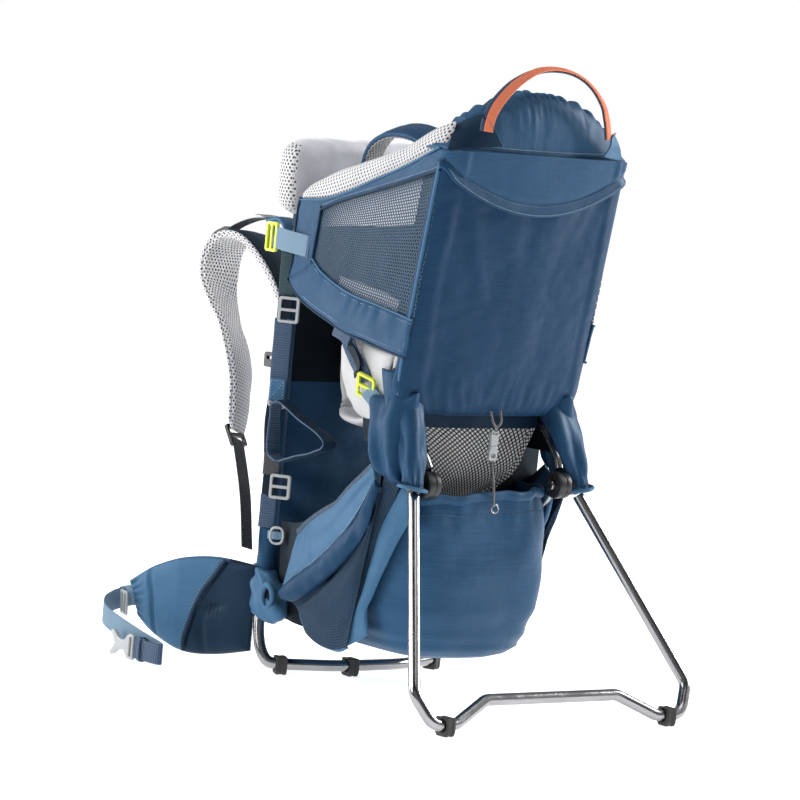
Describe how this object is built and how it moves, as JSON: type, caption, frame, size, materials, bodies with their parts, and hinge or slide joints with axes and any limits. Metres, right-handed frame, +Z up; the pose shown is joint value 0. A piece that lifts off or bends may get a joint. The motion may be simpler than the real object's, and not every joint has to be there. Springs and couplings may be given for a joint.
{
  "type": "baby carrier backpack",
  "caption": "Child carrier backpack on a bent tube frame with a folding kickstand, padded cockpit, lower bag, shoulder straps and a padded hip belt.",
  "frame": {"origin": "under the middle of the carrier's box, on the ground it stands on", "axes": "+Z up; +Y towards the wearer's back pads and straps; -Y towards the outer panel and the kickstand; +X to the right seen from the outer panel's side"},
  "size_m": [0.5299, 0.6348, 0.759],
  "materials": {
    "steel": "bright drawn stainless tube",
    "black": "black moulded plastic and rubber",
    "blue": "mid-blue ripstop and plain shell fabric",
    "navy": "navy ribbed webbing and fabric",
    "sky": "light blue webbing and fabric",
    "mesh": "light grey spacer mesh with open cells",
    "velour": "pale grey brushed fabric",
    "salmon": "salmon webbing",
    "net": "open black and white net",
    "cord": "black braided cord",
    "lime": "lime-yellow moulded plastic",
    "grey": "silver-grey moulded plastic"
  },
  "bodies": {
    "carrier": {"main_frame": "steel", "side_arm_left": "steel", "side_arm_right": "steel", "panel_hoop": "steel", "hinge_hub_left": "black", "hinge_hub_right": "black", "hinge_pin_left": "steel", "hinge_pin_right": "steel", "frame_foot_left": "black", "frame_foot_middle": "black", "frame_foot_right": "black", "outer_panel": "blue", "head_cap": "blue", "side_panel_left": "blue", "side_panel_right": "blue", "rim_pad_left": "mesh", "rim_pad_right": "mesh", "chin_pad": "velour", "backrest_pad": "mesh", "harness_pad_left": "blue", "harness_pad_right": "blue", "harness_buckle": "black", "lower_bag": "blue", "net_panel": "net", "side_pocket_left": "blue", "side_pocket_right": "blue", "hinge_sleeve_left": "blue", "hinge_sleeve_right": "blue", "back_panel": "blue", "back_pad": "mesh", "front_adjuster_left": "lime", "front_adjuster_right": "lime", "rail_adjuster_upper_left": "grey", "rail_adjuster_upper_right": "grey", "rail_adjuster_lower_left": "grey", "rail_adjuster_lower_right": "grey", "seat_adjuster_left": "lime", "seat_adjuster_right": "lime"},
    "kickstand": {"kickstand_tube": "steel", "leg_eye_left": "black", "leg_eye_right": "black", "kickstand_foot_left": "black", "kickstand_foot_right": "black"},
    "handle": {"grab_handle": "salmon"},
    "seat": {"seat_sling": "velour"},
    "closure": {"closure_hook": "grey", "drawcord": "cord"},
    "yoke": {"shoulder_yoke": "navy"},
    "strap_left": {"shoulder_strap_left": "mesh", "strap_webbing_left": "navy"},
    "fin_left": {"hip_fin_left": "blue"},
    "belt_end_left": {"belt_webbing_left": "sky", "buckle_male": "grey"},
    "foot_loop_left": {"stirrup_left": "sky"},
    "strap_right": {"shoulder_strap_right": "mesh", "strap_webbing_right": "navy"},
    "fin_right": {"hip_fin_right": "blue"},
    "belt_end_right": {"belt_webbing_right": "sky", "buckle_female": "grey"},
    "foot_loop_right": {"stirrup_right": "sky"}
  },
  "joints": [
    {"name": "kickstand_fold", "type": "hinge", "parent": "carrier", "child": "kickstand", "pos_m": [0, -0.1525, 0.264], "axis": [1, 0, 0], "range_deg": [0, 60]},
    {"name": "handle_flop", "type": "hinge", "parent": "carrier", "child": "handle", "pos_m": [0, -0.1965, 0.686], "axis": [1, 0, 0], "range_deg": [0, 80], "stiffness_Nm_per_rad": 0.03},
    {"name": "seat_height", "type": "slide", "parent": "carrier", "child": "seat", "axis": [0, 0, 1], "range_m": [-0.02, 0.015]},
    {"name": "closure_swing", "type": "hinge", "parent": "carrier", "child": "closure", "pos_m": [0, -0.1545, 0.237], "axis": [1, 0, 0], "range_deg": [0, 150]},
    {"name": "yoke_slide", "type": "slide", "parent": "carrier", "child": "yoke", "axis": [0, 0, 1], "range_m": [-0.015, 0.03]},
    {"name": "strap_swing_left", "type": "hinge", "parent": "yoke", "child": "strap_left", "pos_m": [-0.056, 0.1395, 0.375], "axis": [0.3751, 0.0649, 0.9247], "range_deg": [-12, 12], "stiffness_Nm_per_rad": 0.8},
    {"name": "strap_swing_right", "type": "hinge", "parent": "yoke", "child": "strap_right", "pos_m": [0.056, 0.1395, 0.375], "axis": [0.3751, -0.0649, -0.9247], "range_deg": [-12, 12], "stiffness_Nm_per_rad": 0.8},
    {"name": "fin_swing_left", "type": "hinge", "parent": "carrier", "child": "fin_left", "pos_m": [-0.143, 0.1275, 0.08], "axis": [0, 0, 1], "range_deg": [-10, 35]},
    {"name": "fin_swing_right", "type": "hinge", "parent": "carrier", "child": "fin_right", "pos_m": [0.143, 0.1275, 0.08], "axis": [0, 0, -1], "range_deg": [-10, 35]},
    {"name": "belt_end_swing_left", "type": "hinge", "parent": "fin_left", "child": "belt_end_left", "pos_m": [-0.2, 0.2935, 0.06], "axis": [0, 0, -1], "range_deg": [-5, 35]},
    {"name": "belt_end_swing_right", "type": "hinge", "parent": "fin_right", "child": "belt_end_right", "pos_m": [0.2, 0.2935, 0.06], "axis": [0, 0, 1], "range_deg": [-5, 35]},
    {"name": "foot_loop_swing_left", "type": "hinge", "parent": "carrier", "child": "foot_loop_left", "pos_m": [-0.138, 0.0835, 0.336], "axis": [0, 1, 0], "range_deg": [0, 60]},
    {"name": "foot_loop_swing_right", "type": "hinge", "parent": "carrier", "child": "foot_loop_right", "pos_m": [0.138, 0.0835, 0.336], "axis": [0, -1, 0], "range_deg": [0, 60]}
  ]
}
